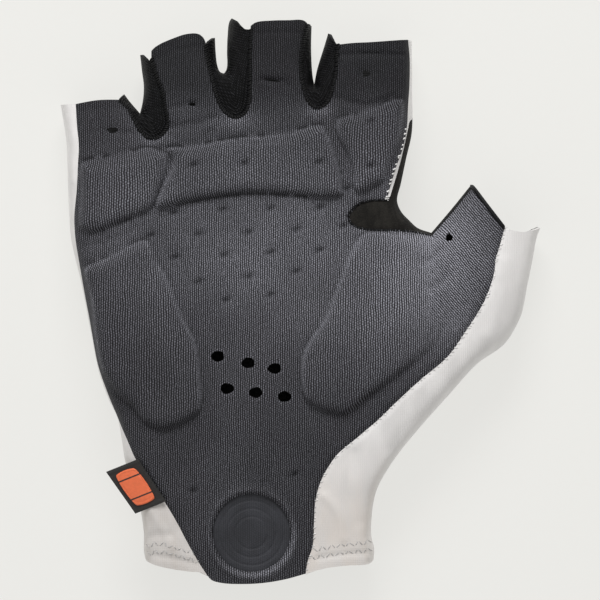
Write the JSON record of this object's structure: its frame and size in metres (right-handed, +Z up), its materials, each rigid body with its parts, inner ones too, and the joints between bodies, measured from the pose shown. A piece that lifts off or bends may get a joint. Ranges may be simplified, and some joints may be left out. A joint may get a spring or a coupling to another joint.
{
  "type": "fingerless cycling glove",
  "caption": "Right-hand fingerless glove with a padded knit palm, stretch back, mesh finger strips and open finger ends.",
  "frame": {"origin": "under the middle of the glove, on the surface it lies on", "axes": "+X across the hand towards the thumb, +Y towards the fingertips, +Z up from the surface, out of the palm"},
  "size_m": [0.1392, 0.1634, 0.0268],
  "materials": {
    "palm_knit": "fine ribbed knit, matt",
    "back_stretch": "satin stretch knit",
    "strip_mesh": "open mesh knit",
    "gusset_suede": "brushed suede-like",
    "disc_rubber": "smooth soft plastic",
    "tape_woven": "woven tape",
    "patch_woven": "woven satin"
  },
  "bodies": {
    "root": {"palm_panel": "palm_knit", "back_panel": "back_stretch", "fourchette_little_ring": "strip_mesh", "fourchette_ring_middle": "strip_mesh", "fourchette_middle_index": "strip_mesh", "thumb_gusset": "gusset_suede", "heel_disc": "disc_rubber", "label_tape": "tape_woven", "label_patch": "patch_woven"}
  },
  "joints": []
}
